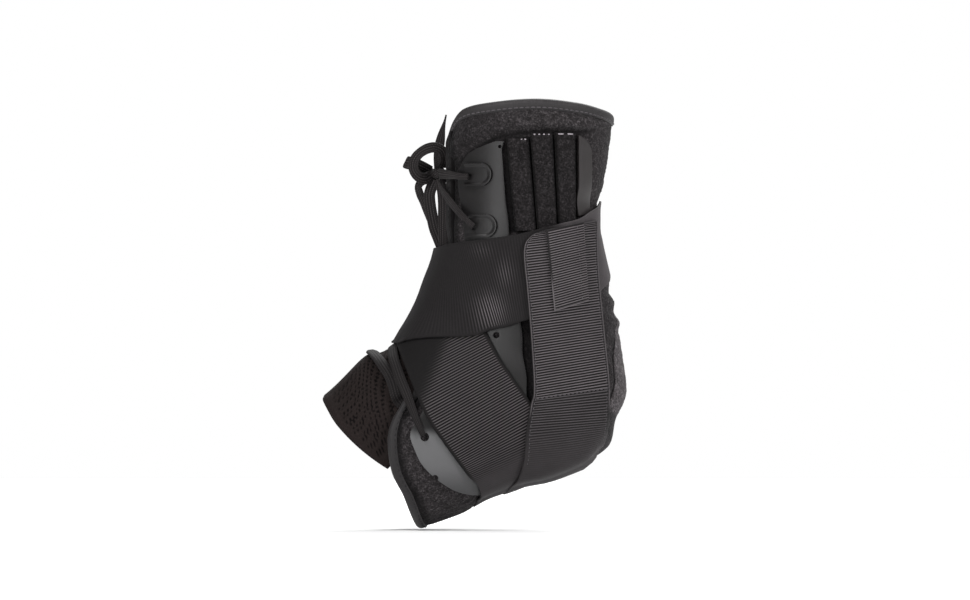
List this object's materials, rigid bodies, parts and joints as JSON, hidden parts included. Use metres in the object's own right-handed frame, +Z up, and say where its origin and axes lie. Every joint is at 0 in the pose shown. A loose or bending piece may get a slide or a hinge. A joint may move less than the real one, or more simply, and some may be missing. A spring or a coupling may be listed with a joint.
{
  "type": "stirrup ankle brace",
  "caption": "Lace-up ankle brace: padded open-toe boot with moulded side plates, a broad ankle wrap, a diagonal strap and a stirrup strap under the heel.",
  "frame": {"origin": "middle of the hollow at ankle height, where the leg's axis meets the ankle's axis", "axes": "+Z up the leg, -X towards the toes, -Y towards the outer (lateral) side"},
  "size_m": [0.155, 0.0898, 0.2186],
  "materials": {
    "loop_fabric": "fuzzy brushed loop",
    "mesh_lining": "matte open mesh",
    "binding": "satin knit tape",
    "plate": "matte moulded",
    "stay": "satin moulded",
    "webbing": "ribbed elastic weave",
    "lace": "flat braid"
  },
  "bodies": {
    "root": {"lateral_panel": "loop_fabric", "medial_panel": "loop_fabric", "heel_panel": "loop_fabric", "tongue": "mesh_lining", "collar_binding": "binding", "lateral_front_binding": "binding", "medial_front_binding": "binding", "lateral_toe_binding": "binding", "medial_toe_binding": "binding", "lateral_plate": "plate", "medial_plate": "plate", "lateral_eyelet_upper": "plate", "medial_eyelet_upper": "plate", "lateral_eyelet_lower": "plate", "medial_eyelet_lower": "plate", "lateral_channel_front": "loop_fabric", "medial_channel_front": "loop_fabric", "lateral_channel_middle": "loop_fabric", "medial_channel_middle": "loop_fabric", "lateral_channel_rear": "loop_fabric", "medial_channel_rear": "loop_fabric", "lateral_stay": "stay", "medial_stay": "stay", "wrap_strap": "webbing", "diagonal_strap": "webbing", "stirrup_strap": "webbing", "lateral_pull_tab": "webbing", "medial_pull_tab": "webbing", "lace_bar": "lace", "lace_loop_near": "lace", "lace_loop_far": "lace", "lace_end_up": "lace", "lace_tail_far": "lace", "lace_tail_near": "lace", "lace_tail_side": "lace", "lateral_lace_lower": "lace", "medial_lace_lower": "lace", "lateral_lace_upper": "lace", "medial_lace_upper": "lace", "lateral_lace_cross": "lace", "medial_lace_cross": "lace", "lace_knot": "lace"}
  },
  "joints": []
}
